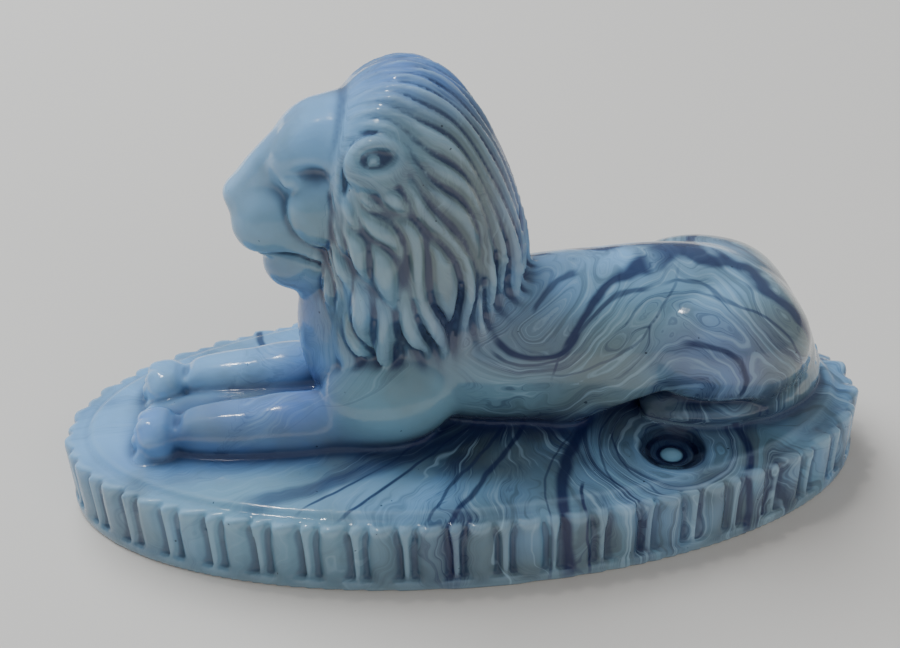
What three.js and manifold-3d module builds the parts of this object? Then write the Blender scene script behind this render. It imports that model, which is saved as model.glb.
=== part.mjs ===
// A pressed glass paperweight: a lion lying with its head up, on an oval plinth whose side is ribbed.
// Lion and plinth are one piece of marbled blue glass. Millimetres, +Z up, the lion looks along -X.
// The origin is the centre of the plinth's underside.
import * as THREE from "three";
import { mergeVertices } from "three/addons/utils/BufferGeometryUtils.js";
import Module from "manifold-3d";

// Driving sizes of the plinth
const LENGTH = 140;
const WIDTH = 66;
const PLINTH_TOP = 13.6;
const LIP_HEIGHT = 2.1;
const LIP_CHAMFER = 0.5;
const LEDGE_HEIGHT = 12.6;
const LEDGE_ROUNDING = 1.3;
const STEP_ROUNDING = 0.8;
const STEP_AT_ENDS = 4.5;
const STEP_AT_SIDES = 3;
const RIB_PAIRS = 42;
const RIB_DEPTH = 1.1;
const RIB_INSET = 0.2;
const NARROW_RIB_SHARE = 0.3;
const FIRST_NARROW_RIB = 3.1;

// Driving sizes of the lion's carving
const LOCKS_PER_SIDE = 10;
const LOCK_DEPTH = 1.5;
const LOCKS_ALONG = 3.4;
const LOCK_WAVE = 0.28;
const MANE_SQUARENESS = 2.3;
const TAIL_RADIUS = 2.6;

// How finely the lion is sampled, and how many triangles describe it in the end
const CELL = 1;
const LION_TRIANGLES = 4200;
const MANE_RINGS = 20;

// The lion's rounded masses. at is the centre, size the three half-lengths, tilt the turn about Y in degrees,
// and blend the radius of the soft join to what is already there. Each one off the middle plane has a twin.
const HEAD = [
  { name: "skull", at: [-17.3, 0, 60.6], size: [11.6, 9.8, 10.4], tilt: 0, blend: 3 },
  { name: "brow", at: [-24.6, 4, 64.6], size: [4.6, 3.2, 2.5], tilt: 40, blend: 2.5 },
  { name: "nose bridge", at: [-31.2, 0, 58.9], size: [7, 3.4, 3], tilt: 48, blend: 2.5 },
  { name: "nose pad", at: [-34.4, 0, 56.4], size: [2.5, 3, 2.2], tilt: 35, blend: 1.2 },
  { name: "muzzle", at: [-29.9, 1.9, 51.9], size: [6.2, 4.3, 6], tilt: 12, blend: 2.5 },
  { name: "chin", at: [-27.4, 0, 43.6], size: [4.8, 4.8, 4.7], tilt: -20, blend: 1.2 },
  { name: "jaw", at: [-21.5, 0, 46.6], size: [7, 7.4, 6.5], tilt: -25, blend: 3 },
  { name: "cheek", at: [-20.2, 5.2, 56], size: [7, 4.6, 6.6], tilt: -20, blend: 0.8 },
];
const TRUNK = [
  { name: "chest", at: [-17, 0, 31], size: [10.8, 8.2, 19], tilt: -3, blend: 3 },
  { name: "barrel", at: [17, 0, 24.6], size: [36, 13.6, 15.4], tilt: 0, blend: 3 },
  { name: "rump", at: [36, 0, 13], size: [26.2, 15, 26.8], tilt: 0, blend: 5 },
];
const LIMBS = [
  { name: "upper arm", at: [-13.5, 7.6, 20.4], size: [11.6, 7.6, 8.6], tilt: 6, blend: 2 },
  { name: "forearm", at: [-32, 7.8, 15.8], size: [21, 5, 5], tilt: -2, blend: 3 },
  { name: "paw", at: [-53.6, 7.6, 15.6], size: [4.4, 5.6, 4.4], tilt: 0, blend: 1.2 },
  { name: "hind foot", at: [41, 8.8, 15.8], size: [13.5, 4.8, 4.6], tilt: 0, blend: 1.5 },
  { name: "thigh", at: [41.4, 8.4, 25.4], size: [14.4, 9.5, 10], tilt: -3, blend: 1.8 },
];
const TOES = [-3.3, -1.1, 1.1, 3.3].map((offset) => ({
  name: "toe",
  at: [-55.9 + 0.09 * offset ** 2, 7.6 + offset, 15.1],
  size: [2.2, 1.35, 2.7],
  tilt: -12,
  blend: 0.5,
}));
const FLANK_HOLLOW = { at: [31, 16, 13.5], size: [15, 10.5, 9.5], tilt: 25, blend: 2.5 };
const EAR = { at: [-12.8, 11.6, 65.4], size: [4.9, 3.2, 4.5], tilt: 15, blend: 0.8 };
const EAR_HOLLOW = { at: [-12.6, 14.8, 66.2], size: [3.5, 2.8, 2.4], tilt: 15, blend: 0.8 };
const EYE_HOLLOW = { at: [-23.8, 9.6, 61.6], size: [3.6, 2.8, 1.9], tilt: 10, blend: 1.6 };
const EYE = { at: [-24.6, 7, 60.9], size: [2, 1.5, 1.3], tilt: 0, blend: 0.5 };
const MOUTH = { height: 47, corner: -22.8, halfWidth: 0.45, depth: 1, blend: 0.6 };
const TAIL_PATH = [
  [57, 7, 18.6],
  [60.2, 0, 17.8],
  [58.4, -6, 17.2],
  [53, -10.6, 16.6],
  [45.5, -13, 16.2],
  [37.5, -13, 15.8],
  [31, -10.4, 15.4],
];

// The mane is a row of ovals that stand square to the locks. In the side view each oval runs from the inner
// curve, at the throat, to the outer one, over the head and down the neck. The first oval frames the face.
const INNER_CURVE = [[-22.5, 43], [-22.3, 40], [-21.8, 36], [-19.5, 23]];
const OUTER_CURVE = [[-18, 70.6], [-8, 80.5], [6, 78], [12.8, 34]];
const MANE_HALF_WIDTHS = [11.4, 14.2, 17.5, 11.5];

const clamp = THREE.MathUtils.clamp;

function smoothJoin(a, b, blend) {
  const overlap = Math.max(blend - Math.abs(a - b), 0) / blend;
  return Math.min(a, b) - (overlap * overlap * blend) / 4;
}

function smoothCut(a, b, blend) {
  return -smoothJoin(-a, b, blend);
}

// Near enough the distance from a point to an ellipsoid, negative inside
function ellipsoid(x, y, z, { at, size, tilt }) {
  const turn = THREE.MathUtils.degToRad(tilt);
  const dx = x - at[0];
  const dz = z - at[2];
  const px = (dx * Math.cos(turn) + dz * Math.sin(turn)) / size[0];
  const py = (y - at[1]) / size[1];
  const pz = (dz * Math.cos(turn) - dx * Math.sin(turn)) / size[2];
  const scaled = Math.hypot(px, py, pz);
  const slope = Math.hypot(px / size[0], py / size[1], pz / size[2]);
  return slope > 0 ? (scaled * (scaled - 1)) / slope : -Math.min(...size);
}

function segmentDistance(x, y, z, from, to) {
  const along = to.map((v, k) => v - from[k]);
  const away = [x - from[0], y - from[1], z - from[2]];
  const share = clamp(
    (away[0] * along[0] + away[1] * along[1] + away[2] * along[2]) /
      (along[0] ** 2 + along[1] ** 2 + along[2] ** 2),
    0,
    1,
  );
  return Math.hypot(...away.map((v, k) => v - share * along[k]));
}

function joinAll(x, y, z, forms) {
  return forms.reduce(
    (distance, form) => smoothJoin(distance, ellipsoid(x, y, z, form), form.blend),
    1e3,
  );
}

function face(x, y, z) {
  const side = Math.abs(y);
  let distance = joinAll(x, side, z, HEAD);
  distance = smoothCut(distance, ellipsoid(x, side, z, EYE_HOLLOW), EYE_HOLLOW.blend);
  distance = smoothJoin(distance, ellipsoid(x, side, z, EYE), EYE.blend);
  const slot = Math.abs(z - MOUTH.height) - MOUTH.halfWidth;
  const mouth = Math.max(slot, x - MOUTH.corner, -distance - MOUTH.depth);
  return smoothCut(distance, mouth, MOUTH.blend);
}

function body(x, y, z) {
  const side = Math.abs(y);
  let distance = joinAll(x, side, z, TRUNK);
  distance = smoothCut(distance, ellipsoid(x, side, z, FLANK_HOLLOW), FLANK_HOLLOW.blend);
  for (const form of [...LIMBS, ...TOES]) {
    distance = smoothJoin(distance, ellipsoid(x, side, z, form), form.blend);
  }
  return distance;
}

const BODY_BLEND = 1.2;
const TAIL_BLEND = 1.5;
function tail(x, y, z) {
  let distance = 1e3;
  for (let k = 1; k < TAIL_PATH.length; k++) {
    const piece = segmentDistance(x, y, z, TAIL_PATH[k - 1], TAIL_PATH[k]);
    distance = smoothJoin(distance, piece, TAIL_BLEND);
  }
  return distance - TAIL_RADIUS;
}

// Everything of the lion but the mane. It goes a little way down into the plinth.
const ROOT_DEPTH = 3;
function lionWithoutMane(x, y, z) {
  const side = Math.abs(y);
  let distance = smoothJoin(face(x, y, z), ellipsoid(x, side, z, EAR), EAR.blend);
  distance = smoothCut(distance, ellipsoid(x, side, z, EAR_HOLLOW), EAR_HOLLOW.blend);
  distance = smoothJoin(distance, body(x, y, z), BODY_BLEND);
  distance = smoothJoin(distance, tail(x, y, z), TAIL_BLEND);
  return Math.max(distance, PLINTH_TOP - ROOT_DEPTH - z);
}

// Face and paws are worth more triangles, and what the mane hides hardly any
const UNDER_THE_MANE = { at: [-4, 0, 46], size: [11, 10.5, 22], tilt: -15 };
function worthAt({ x, y, z }) {
  if (ellipsoid(x, y, z, UNDER_THE_MANE) < 0) return 0.02;
  return z > 42 || x < -47 ? 3 : 1;
}

// A closed surface where the distance is zero: each cell of a grid is six tetrahedra, and each
// tetrahedron that the surface passes through gives one or two triangles
const TETRAHEDRA = [
  [0, 5, 1, 7],
  [0, 1, 3, 7],
  [0, 3, 2, 7],
  [0, 2, 6, 7],
  [0, 6, 4, 7],
  [0, 4, 5, 7],
];

function surfaceOf(distance, low, high) {
  const count = low.map((v, k) => Math.ceil((high[k] - v) / CELL) + 1);
  const pointIndex = (i, j, k) => (k * count[1] + j) * count[0] + i;
  const place = (n) => [
    low[0] + CELL * (n % count[0]),
    low[1] + CELL * (Math.floor(n / count[0]) % count[1]),
    low[2] + CELL * Math.floor(n / (count[0] * count[1])),
  ];
  const field = new Float64Array(count[0] * count[1] * count[2]);
  for (let n = 0; n < field.length; n++) field[n] = distance(...place(n)) || 1e-9;
  const positions = [];
  const triangles = [];
  const made = new Map();
  const crossing = (a, b) => {
    const key = Math.min(a, b) * field.length + Math.max(a, b);
    if (!made.has(key)) {
      const share = clamp(field[a] / (field[a] - field[b]), 0.02, 0.98);
      const from = place(a);
      const to = place(b);
      made.set(key, positions.length / 3);
      positions.push(...from.map((v, m) => v + share * (to[m] - v)));
    }
    return made.get(key);
  };
  for (let k = 0; k < count[2] - 1; k++)
    for (let j = 0; j < count[1] - 1; j++)
      for (let i = 0; i < count[0] - 1; i++) {
        const corners = [0, 1, 2, 3, 4, 5, 6, 7].map((c) =>
          pointIndex(i + (c & 1), j + ((c >> 1) & 1), k + (c >> 2)),
        );
        const inside = corners.filter((c) => field[c] < 0).length;
        if (inside === 0 || inside === 8) continue;
        for (const tetrahedron of TETRAHEDRA) {
          const points = tetrahedron.map((c) => corners[c]);
          const within = points.filter((c) => field[c] < 0);
          const without = points.filter((c) => field[c] >= 0);
          if (within.length === 0 || without.length === 0) continue;
          const loop =
            within.length === 2
              ? [
                  crossing(within[0], without[0]),
                  crossing(within[0], without[1]),
                  crossing(within[1], without[1]),
                  crossing(within[1], without[0]),
                ]
              : within.length === 1
                ? without.map((c) => crossing(within[0], c))
                : within.map((c) => crossing(c, without[0]));
          const [p, q, r] = loop.slice(0, 3).map((v) => new THREE.Vector3().fromArray(positions, 3 * v));
          const outward = new THREE.Vector3()
            .fromArray(place(without[0]))
            .sub(new THREE.Vector3().fromArray(place(within[0])));
          if (q.clone().sub(p).cross(r.sub(p)).dot(outward) < 0) loop.reverse();
          for (let m = 2; m < loop.length; m++) triangles.push([loop[0], loop[m - 1], loop[m]]);
        }
      }
  return { positions: Float64Array.from(positions), triangles };
}

// Collapses the edge that changes the surface least, again and again, until few enough triangles are left.
// A vertex's error is the summed squared distance to the planes of the triangles it has stood for.
// The evenness holds long edges back, so that flat places keep well shaped triangles.
const EVENNESS = 2e-3;
function simplify({ positions, triangles }, wanted, weightAt) {
  const vertexCount = positions.length / 3;
  const around = Array.from({ length: vertexCount }, () => new Set());
  const quadrics = Array.from({ length: vertexCount }, () => new Float64Array(10));
  const alive = triangles.map(() => true);
  const point = (v) => new THREE.Vector3().fromArray(positions, 3 * v);
  triangles.forEach((corners, f) => {
    const [a, b, c] = corners.map(point);
    const normal = b.clone().sub(a).cross(c.clone().sub(a));
    const weight = (weightAt(a) * normal.length()) / 2;
    normal.normalize();
    const plane = [normal.x, normal.y, normal.z, -normal.dot(a)];
    for (const v of corners) {
      around[v].add(f);
      let m = 0;
      for (let p = 0; p < 4; p++) {
        for (let q = p; q < 4; q++) quadrics[v][m++] += weight * plane[p] * plane[q];
      }
    }
  });
  const errorAt = (Q, { x, y, z }) =>
    Q[0] * x * x + 2 * Q[1] * x * y + 2 * Q[2] * x * z + 2 * Q[3] * x + Q[4] * y * y +
    2 * Q[5] * y * z + 2 * Q[6] * y + Q[7] * z * z + 2 * Q[8] * z + Q[9];
  const bestPlace = (Q, a, b) => {
    const matrix = new THREE.Matrix3().set(Q[0], Q[1], Q[2], Q[1], Q[4], Q[5], Q[2], Q[5], Q[7]);
    const middle = a.clone().add(b).multiplyScalar(0.5);
    const choices = [a, b, middle];
    if (Math.abs(matrix.determinant()) > 1e-6) {
      const solved = new THREE.Vector3(-Q[3], -Q[6], -Q[8]).applyMatrix3(matrix.invert());
      if (solved.distanceTo(middle) < 2 * a.distanceTo(b)) choices.push(solved);
    }
    return choices
      .map((place) => ({ place, error: errorAt(Q, place) }))
      .reduce((best, one) => (one.error < best.error ? one : best));
  };
  const version = new Uint32Array(vertexCount);
  const heap = [];
  const higher = (i, j) => heap[i].error < heap[j].error;
  const swap = (i, j) => ([heap[i], heap[j]] = [heap[j], heap[i]]);
  const push = (item) => {
    let i = heap.push(item) - 1;
    while (i > 0 && higher(i, (i - 1) >> 1)) {
      swap(i, (i - 1) >> 1);
      i = (i - 1) >> 1;
    }
  };
  const pop = () => {
    swap(0, heap.length - 1);
    const top = heap.pop();
    let i = 0;
    for (;;) {
      let least = i;
      for (const child of [2 * i + 1, 2 * i + 2]) {
        if (child < heap.length && higher(child, least)) least = child;
      }
      if (least === i) return top;
      swap(i, least);
      i = least;
    }
  };
  const offer = (a, b) => {
    const Q = quadrics[a].map((v, k) => v + quadrics[b][k]);
    const { place, error } = bestPlace(Q, point(a), point(b));
    const shape = EVENNESS * weightAt(place) * point(a).distanceToSquared(point(b));
    push({ a, b, place, error: error + shape, stamp: version[a] + version[b] });
  };
  const neighbours = (v) => new Set([...around[v]].flatMap((f) => triangles[f]).filter((w) => w !== v));
  for (const corners of triangles) {
    corners.forEach((from, k) => {
      const to = corners[(k + 1) % 3];
      if (from < to) offer(from, to);
    });
  }
  const flips = (v, other, place) =>
    [...around[v]].some((f) => {
      if (triangles[f].includes(other)) return false;
      const [a, b, c] = triangles[f].map(point);
      const [d, e, g] = triangles[f].map((w) => (w === v ? place : point(w)));
      const before = b.sub(a).cross(c.sub(a));
      const after = e.clone().sub(d).cross(g.clone().sub(d));
      return after.dot(before) < 0.3 * after.length() * before.length();
    });
  let left = triangles.length;
  while (left > wanted && heap.length > 0) {
    const { a, b, place, stamp } = pop();
    if (around[a].size === 0 || around[b].size === 0 || stamp !== version[a] + version[b]) continue;
    const shared = [...around[a]].filter((f) => around[b].has(f));
    const common = [...neighbours(a)].filter((v) => neighbours(b).has(v));
    if (shared.length !== 2 || common.length !== 2) continue;
    if (common.some((v) => around[v].size <= 3) || flips(a, b, place) || flips(b, a, place)) continue;
    place.toArray(positions, 3 * a);
    quadrics[a] = quadrics[a].map((v, k) => v + quadrics[b][k]);
    for (const f of shared) {
      alive[f] = false;
      for (const v of triangles[f]) around[v].delete(f);
    }
    for (const f of around[b]) {
      triangles[f] = triangles[f].map((v) => (v === b ? a : v));
      around[a].add(f);
    }
    around[b].clear();
    left -= 2;
    version[a] += 1e5;
    for (const v of neighbours(a)) {
      version[v] += 1;
    }
    for (const v of neighbours(a)) offer(a, v);
  }
  return { positions, triangles: triangles.filter((_, f) => alive[f]) };
}

function geometryOf({ positions, triangles }) {
  const geometry = new THREE.BufferGeometry();
  geometry.setAttribute("position", new THREE.BufferAttribute(Float32Array.from(positions), 3));
  geometry.setIndex(triangles.flat());
  return geometry;
}

// Points of the plinth's oval at equal steps of its girth, which start at the near side's middle
const GIRTH_STEPS = 2880;
const girthPoints = Array.from({ length: GIRTH_STEPS + 1 }, (_, k) => {
  const angle = (2 * Math.PI * k) / GIRTH_STEPS - Math.PI / 2;
  return new THREE.Vector2((LENGTH / 2) * Math.cos(angle), (WIDTH / 2) * Math.sin(angle));
});
const girthLengths = girthPoints.reduce((lengths, p, k) => {
  lengths.push(k === 0 ? 0 : lengths[k - 1] + p.distanceTo(girthPoints[k - 1]));
  return lengths;
}, []);
const GIRTH = girthLengths[GIRTH_STEPS];

function girthAngle(distance) {
  const wrapped = THREE.MathUtils.euclideanModulo(distance, GIRTH);
  const above = Math.max(girthLengths.findIndex((v) => v >= wrapped), 1);
  const passed = girthLengths[above - 1];
  const part = (wrapped - passed) / (girthLengths[above] - passed);
  return (2 * Math.PI * (above - 1 + part)) / GIRTH_STEPS - Math.PI / 2;
}

// A point of the oval, moved inwards square to it
function ovalPoint(distance, inset, z) {
  const angle = girthAngle(distance);
  const cos = Math.cos(angle);
  const sin = Math.sin(angle);
  const outward = new THREE.Vector2((WIDTH / 2) * cos, (LENGTH / 2) * sin).normalize();
  return [(LENGTH / 2) * cos - inset * outward.x, (WIDTH / 2) * sin - inset * outward.y, z];
}

// A closed solid from a row of rings, each with as many points as the last, with a flat end at either side
function middleOf(ring) {
  return [0, 1, 2].map((k) => ring.reduce((sum, point) => sum + point[k], 0) / ring.length);
}

function solidOfRings(rings) {
  const size = rings[0].length;
  const positions = rings.flat(2);
  const triangles = [];
  const at = (ring, k) => ring * size + (k % size);
  for (let ring = 1; ring < rings.length; ring++)
    for (let k = 0; k < size; k++) {
      triangles.push([at(ring - 1, k), at(ring - 1, k + 1), at(ring, k + 1)]);
      triangles.push([at(ring - 1, k), at(ring, k + 1), at(ring, k)]);
    }
  const bottom = positions.length / 3;
  positions.push(...middleOf(rings[0]), ...middleOf(rings.at(-1)));
  for (let k = 0; k < size; k++) {
    triangles.push([bottom, at(0, k + 1), at(0, k)]);
    triangles.push([bottom + 1, at(rings.length - 1, k), at(rings.length - 1, k + 1)]);
  }
  return geometryOf({ positions, triangles });
}

// Six points to each pair of ribs: the narrow rib's crest, a groove, three points of the wide rib, a groove
const WIDE_SHARE = 1 - NARROW_RIB_SHARE;
const RIB_POINTS = [
  { share: 0, depth: 0.2 },
  { share: NARROW_RIB_SHARE / 2, depth: 1 },
  { share: NARROW_RIB_SHARE / 2 + 0.2 * WIDE_SHARE, depth: 0.25 },
  { share: 0.5, depth: 0 },
  { share: 1 - NARROW_RIB_SHARE / 2 - 0.2 * WIDE_SHARE, depth: 0.25 },
  { share: 1 - NARROW_RIB_SHARE / 2, depth: 1 },
];

function ribRing(inset, depth, z) {
  const pitch = GIRTH / RIB_PAIRS;
  return Array.from({ length: RIB_PAIRS * RIB_POINTS.length }, (_, k) => {
    const point = RIB_POINTS[k % RIB_POINTS.length];
    const distance = FIRST_NARROW_RIB + pitch * (Math.floor(k / RIB_POINTS.length) + point.share);
    return ovalPoint(distance, RIB_INSET + inset + depth * point.depth, z);
  });
}

function lipRing(inset, z) {
  const count = 2 * RIB_PAIRS;
  return Array.from({ length: count }, (_, k) => ovalPoint((GIRTH * k) / count, inset, z));
}

const lip = solidOfRings([
  lipRing(LIP_CHAMFER, 0),
  lipRing(0, LIP_CHAMFER),
  lipRing(0, LIP_HEIGHT - RIB_INSET),
  lipRing(RIB_INSET, LIP_HEIGHT),
]);
const ribs = solidOfRings([
  ribRing(0, RIB_DEPTH, LIP_HEIGHT / 2),
  ribRing(0, RIB_DEPTH, LEDGE_HEIGHT - LEDGE_ROUNDING),
  ribRing(0.35 * LEDGE_ROUNDING, 0.8 * RIB_DEPTH, LEDGE_HEIGHT - 0.35 * LEDGE_ROUNDING),
  ribRing(1.2 * LEDGE_ROUNDING, 0.3 * RIB_DEPTH, LEDGE_HEIGHT),
]);

// The raised flat top, an oval with a softened edge
function stepRing(inset, z) {
  const count = 2 * RIB_PAIRS;
  return Array.from({ length: count }, (_, k) => {
    const angle = (2 * Math.PI * k) / count;
    const along = (LENGTH / 2 - STEP_AT_ENDS - inset) * Math.cos(angle);
    return [along, (WIDTH / 2 - STEP_AT_SIDES - inset) * Math.sin(angle), z];
  });
}

const step = solidOfRings([
  stepRing(0, LEDGE_HEIGHT - 1),
  stepRing(0, PLINTH_TOP - STEP_ROUNDING),
  stepRing(0.3 * STEP_ROUNDING, PLINTH_TOP - 0.3 * STEP_ROUNDING),
  stepRing(STEP_ROUNDING, PLINTH_TOP),
]);

// One oval of the mane. Each lock has three points: the groove before it and its two shoulders.
const curveOf = (points) => new THREE.CubicBezierCurve(...points.map((point) => new THREE.Vector2(...point)));
const innerCurve = curveOf(INNER_CURVE);
const outerCurve = curveOf(OUTER_CURVE);
const widthCurve = curveOf(MANE_HALF_WIDTHS.map((width) => [0, width]));

function maneRing(t) {
  const inner = innerCurve.getPoint(t);
  const outer = outerCurve.getPoint(t);
  const middle = inner.clone().add(outer).multiplyScalar(0.5);
  const reach = outer.clone().sub(inner).multiplyScalar(0.5);
  const halfWidth = widthCurve.getPoint(t).y;
  const points = [];
  for (let lock = 0; lock < 2 * LOCKS_PER_SIDE; lock++) {
    const twin = Math.min(lock, 2 * LOCKS_PER_SIDE - lock);
    const run = LOCKS_ALONG * t + 0.5 * (twin % 2) + 0.23 * Math.sin(5 * twin);
    const fullness = 0.55 + 0.45 * Math.sin(Math.PI * (run - Math.floor(run)) ** 1.4);
    for (const across of [-1, -0.55 * fullness, 0.55 * fullness]) {
      const place = (lock + across / 2) / LOCKS_PER_SIDE;
      const fromTop = 1 - Math.abs(1 - Math.abs(place));
      const swing = Math.sin(2 * Math.PI * (2.1 * t + 1.3 * fromTop));
      const wave = LOCK_WAVE * Math.sin(Math.PI * fromTop) * swing;
      const angle = Math.PI * (place - (Math.sign(1 - Math.abs(place)) * wave) / LOCKS_PER_SIDE);
      const height = LOCK_DEPTH * ((across === -1 ? 0 : fullness) - 0.5);
      const round = (v) => Math.sign(v) * Math.abs(v) ** (2 / MANE_SQUARENESS);
      const p = round(Math.cos(angle)) * (1 + height / reach.length());
      const q = round(Math.sin(angle)) * (1 + height / halfWidth);
      points.push([middle.x + p * reach.x, q * halfWidth, middle.y + p * reach.y]);
    }
  }
  return points.reverse();
}

function sunkRing(ring, depth) {
  const middle = middleOf(ring);
  return ring.map((point) => {
    const size = Math.hypot(...point.map((v, k) => v - middle[k]));
    return point.map((v, k) => v - (depth * (v - middle[k])) / size);
  });
}

const maneRings = Array.from({ length: MANE_RINGS + 1 }, (_, k) => maneRing(k / MANE_RINGS));
maneRings[0] = sunkRing(maneRings[0], 2);
const mane = solidOfRings(maneRings);

const wasm = await Module();
wasm.setup();

function solidOf(geometry) {
  geometry.deleteAttribute("normal");
  geometry.deleteAttribute("uv");
  const merged = mergeVertices(geometry, 1e-5);
  const mesh = new wasm.Mesh({
    numProp: 3,
    vertProperties: merged.attributes.position.array,
    triVerts: new Uint32Array(merged.index.array),
  });
  return new wasm.Manifold(mesh);
}

function geometryOfSolid(solid) {
  const mesh = solid.getMesh();
  const geometry = new THREE.BufferGeometry();
  geometry.setAttribute("position", new THREE.BufferAttribute(new Float32Array(mesh.vertProperties), 3));
  geometry.setIndex(new THREE.BufferAttribute(new Uint32Array(mesh.triVerts), 1));
  geometry.computeVertexNormals();
  return geometry;
}

// The corners of a box that holds the lion without its mane
const LION_LOW = [-60.5, -19.5, 9.5];
const LION_HIGH = [65.5, 19.5, 73.5];
const sampled = surfaceOf(lionWithoutMane, LION_LOW, LION_HIGH);
const lion = geometryOf(simplify(sampled, LION_TRIANGLES, worthAt));
const whole = [ribs, step, lion, mane].reduce((solid, next) => solid.add(solidOf(next)), solidOf(lip));

const glass = new THREE.MeshStandardMaterial({ color: 0x7fa6bd, roughness: 0.12, metalness: 0 });
const paperweight = new THREE.Mesh(geometryOfSolid(whole), glass);
paperweight.name = "lion_paperweight";

const part = new THREE.Group();
part.add(paperweight);
export default part;
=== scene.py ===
import math

import bpy
import numpy as np
import openvdb
from mathutils import Matrix, Vector

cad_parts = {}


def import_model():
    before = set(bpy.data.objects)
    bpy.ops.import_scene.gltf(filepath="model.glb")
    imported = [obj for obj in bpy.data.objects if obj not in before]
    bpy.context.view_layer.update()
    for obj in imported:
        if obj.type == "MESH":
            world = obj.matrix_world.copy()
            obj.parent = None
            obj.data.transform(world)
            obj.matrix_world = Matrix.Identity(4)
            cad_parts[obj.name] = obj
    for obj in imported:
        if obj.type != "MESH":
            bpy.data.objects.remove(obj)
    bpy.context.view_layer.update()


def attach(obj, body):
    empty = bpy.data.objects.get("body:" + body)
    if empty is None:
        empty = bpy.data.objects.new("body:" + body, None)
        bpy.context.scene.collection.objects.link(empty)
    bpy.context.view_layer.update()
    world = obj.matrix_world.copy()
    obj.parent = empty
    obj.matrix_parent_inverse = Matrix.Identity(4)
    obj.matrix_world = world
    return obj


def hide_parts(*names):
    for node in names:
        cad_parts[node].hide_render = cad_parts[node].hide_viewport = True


# The glass lion paperweight in its CAD frame.
# The shapes are worked out in millimetres, and the mesh is in metres.
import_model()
NODE = "lion_paperweight"

# Plinth sizes, as in the CAD part
LENGTH, WIDTH, PLINTH_TOP = 140.0, 66.0, 13.6
LEDGE_HEIGHT = 12.75
RIB_DEPTH = 1.45
RIB_PAIRS = 42
FIRST_NARROW_RIB = 3.1

# The sampling grid's cell, and the most triangles to keep. Only the underside is thinned, so a finer grid
# than this leaves more triangles than that.
CELL = 0.56
MOST_TRIANGLES = 196000

# The lion's rounded masses: centre, half-lengths, tilt about Y in degrees, radius of the soft join, and how
# square the form is (2 is round). Each one off the middle plane has a twin.
HEAD = [
    ("skull", (-17.3, 0, 60.6), (11.6, 9.8, 10.4), 0, 3, 2),
    ("brow", (-24.4, 3.8, 64.4), (4.8, 3.2, 2.5), 40, 3.5, 2),
    ("nose bridge", (-31.2, 0, 58.9), (7, 3.3, 2.9), 48, 2.2, 2.6),
    ("nose pad", (-34.5, 0, 56.5), (2.4, 2.9, 2.1), 35, 0.8, 2.4),
    ("muzzle", (-29.9, 1.9, 51.9), (6.2, 4.3, 6), 12, 1.8, 2),
    ("chin", (-27.4, 0, 43.6), (4.8, 4.8, 4.7), -20, 1.2, 2),
    ("jaw", (-21.5, 0, 46.6), (7, 7.4, 6.5), -25, 3, 2),
    ("cheek", (-20.3, 5.7, 55.3), (6.7, 4.7, 5.9), 25, 0.6, 2.2),
]
EYE_HOLLOW = ((-23.7, 9.8, 61.8), (3.7, 3.2, 1.9), 12, 1.5)
EYE = ((-25.8, 6.3, 60.6), (1.5, 1.2, 1.3), 0, 0.5)
MOUTH_HEIGHT = 47.2
TRUNK = [
    ("chest", (-17, 0, 31), (10.8, 8.2, 19), -3, 3, 2),
    ("barrel", (17, 0, 25.3), (36, 13.6, 14.8), 3, 3, 2),
    ("rump", (36, 0, 13), (26.2, 15, 26.8), 0, 5, 2),
]
FLANK_HOLLOW = ((30, 13.5, 11.5), (19, 9.5, 8.5), 24, 3.5)
LIMBS = [
    ("upper arm", (-13.5, 7.6, 20.4), (11.6, 7.6, 8.6), 6, 2, 2),
    ("forearm", (-31.5, 7.5, 15.7), (20.5, 5.1, 4.9), -2, 3, 2.3),
    ("forearm muscle", (-29.5, 7.8, 17.3), (7.5, 4.4, 4), -4, 2.5, 2),
    ("web between the legs", (-36, 0, 14), (20.5, 4.5, 2.9), 0, 1.5, 2.6),
    ("paw", (-52.5, 7, 15.3), (3.6, 4.8, 4.4), 0, 1, 2.5),
    ("hind foot", (41, 7.4, 15.4), (12, 4.2, 4), 0, 1.5, 2),
]
THIGH = ((41.4, 8.2, 27.2), (14.8, 9.6, 10), -4)
WRIST_GROOVE = ((-48.9, 7, 20.6), (1.2, 5.6, 2.6), 0, 1.2)
EAR = ((-12.8, 12.6, 65.2), (5, 3, 4.6), 12, 0.5)
EAR_HOLLOW = ((-12.9, 16.2, 67.2), (3.9, 3, 2), 6, 0.5)
EAR_BALL = ((-13.4, 13.6, 66.6), (0.9, 1, 0.8), 0, 0.4)
EAR_GAP = ((-17.8, 12.4, 63), (0.7, 2.2, 3.6), -8, 1.2)
TOES = (-3.5, -1.2, 1.2, 3.5)
TAIL_RADIUS = 2.05
TAIL_PATH = [
    (57, 6, 18.5), (61, 2.4, 16.4), (60, -2.6, 15.8), (56, -7.4, 15.6),
    (50, -10.9, 15.5), (43, -12.3, 15.3), (36.5, -11.6, 15), (31, -9.2, 14.2),
]

# The round dimple in the platform's top, on the lion's left
DIMPLE = (32.4, -18.1)
DIMPLE_RADIUS = 5.6
DIMPLE_DEPTH = 1.9

# The mane is a row of ovals square to the locks, from the face's edge to the shoulders
INNER_CURVE = np.array([(-21, 58), (-22.5, 50), (-24, 38), (-20, 22)])
OUTER_CURVE = np.array([(-18, 70.6), (-8, 80.5), (6, 78), (12.8, 34)])
MANE_HALF_WIDTHS = np.array([9.8, 14, 18, 11.6])
MANE_SQUARENESS = 2.3
LOCKS_PER_SIDE = 20
LOCK_DEPTH = 1.45


def smoothstep(v, low, high):
    t = np.clip((v - low) / (high - low), 0, 1)
    return t * t * (3 - 2 * t)


def smooth_join(a, b, blend):
    overlap = np.maximum(blend - np.abs(a - b), 0) / blend
    return np.minimum(a, b) - overlap * overlap * (blend / 4)


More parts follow.
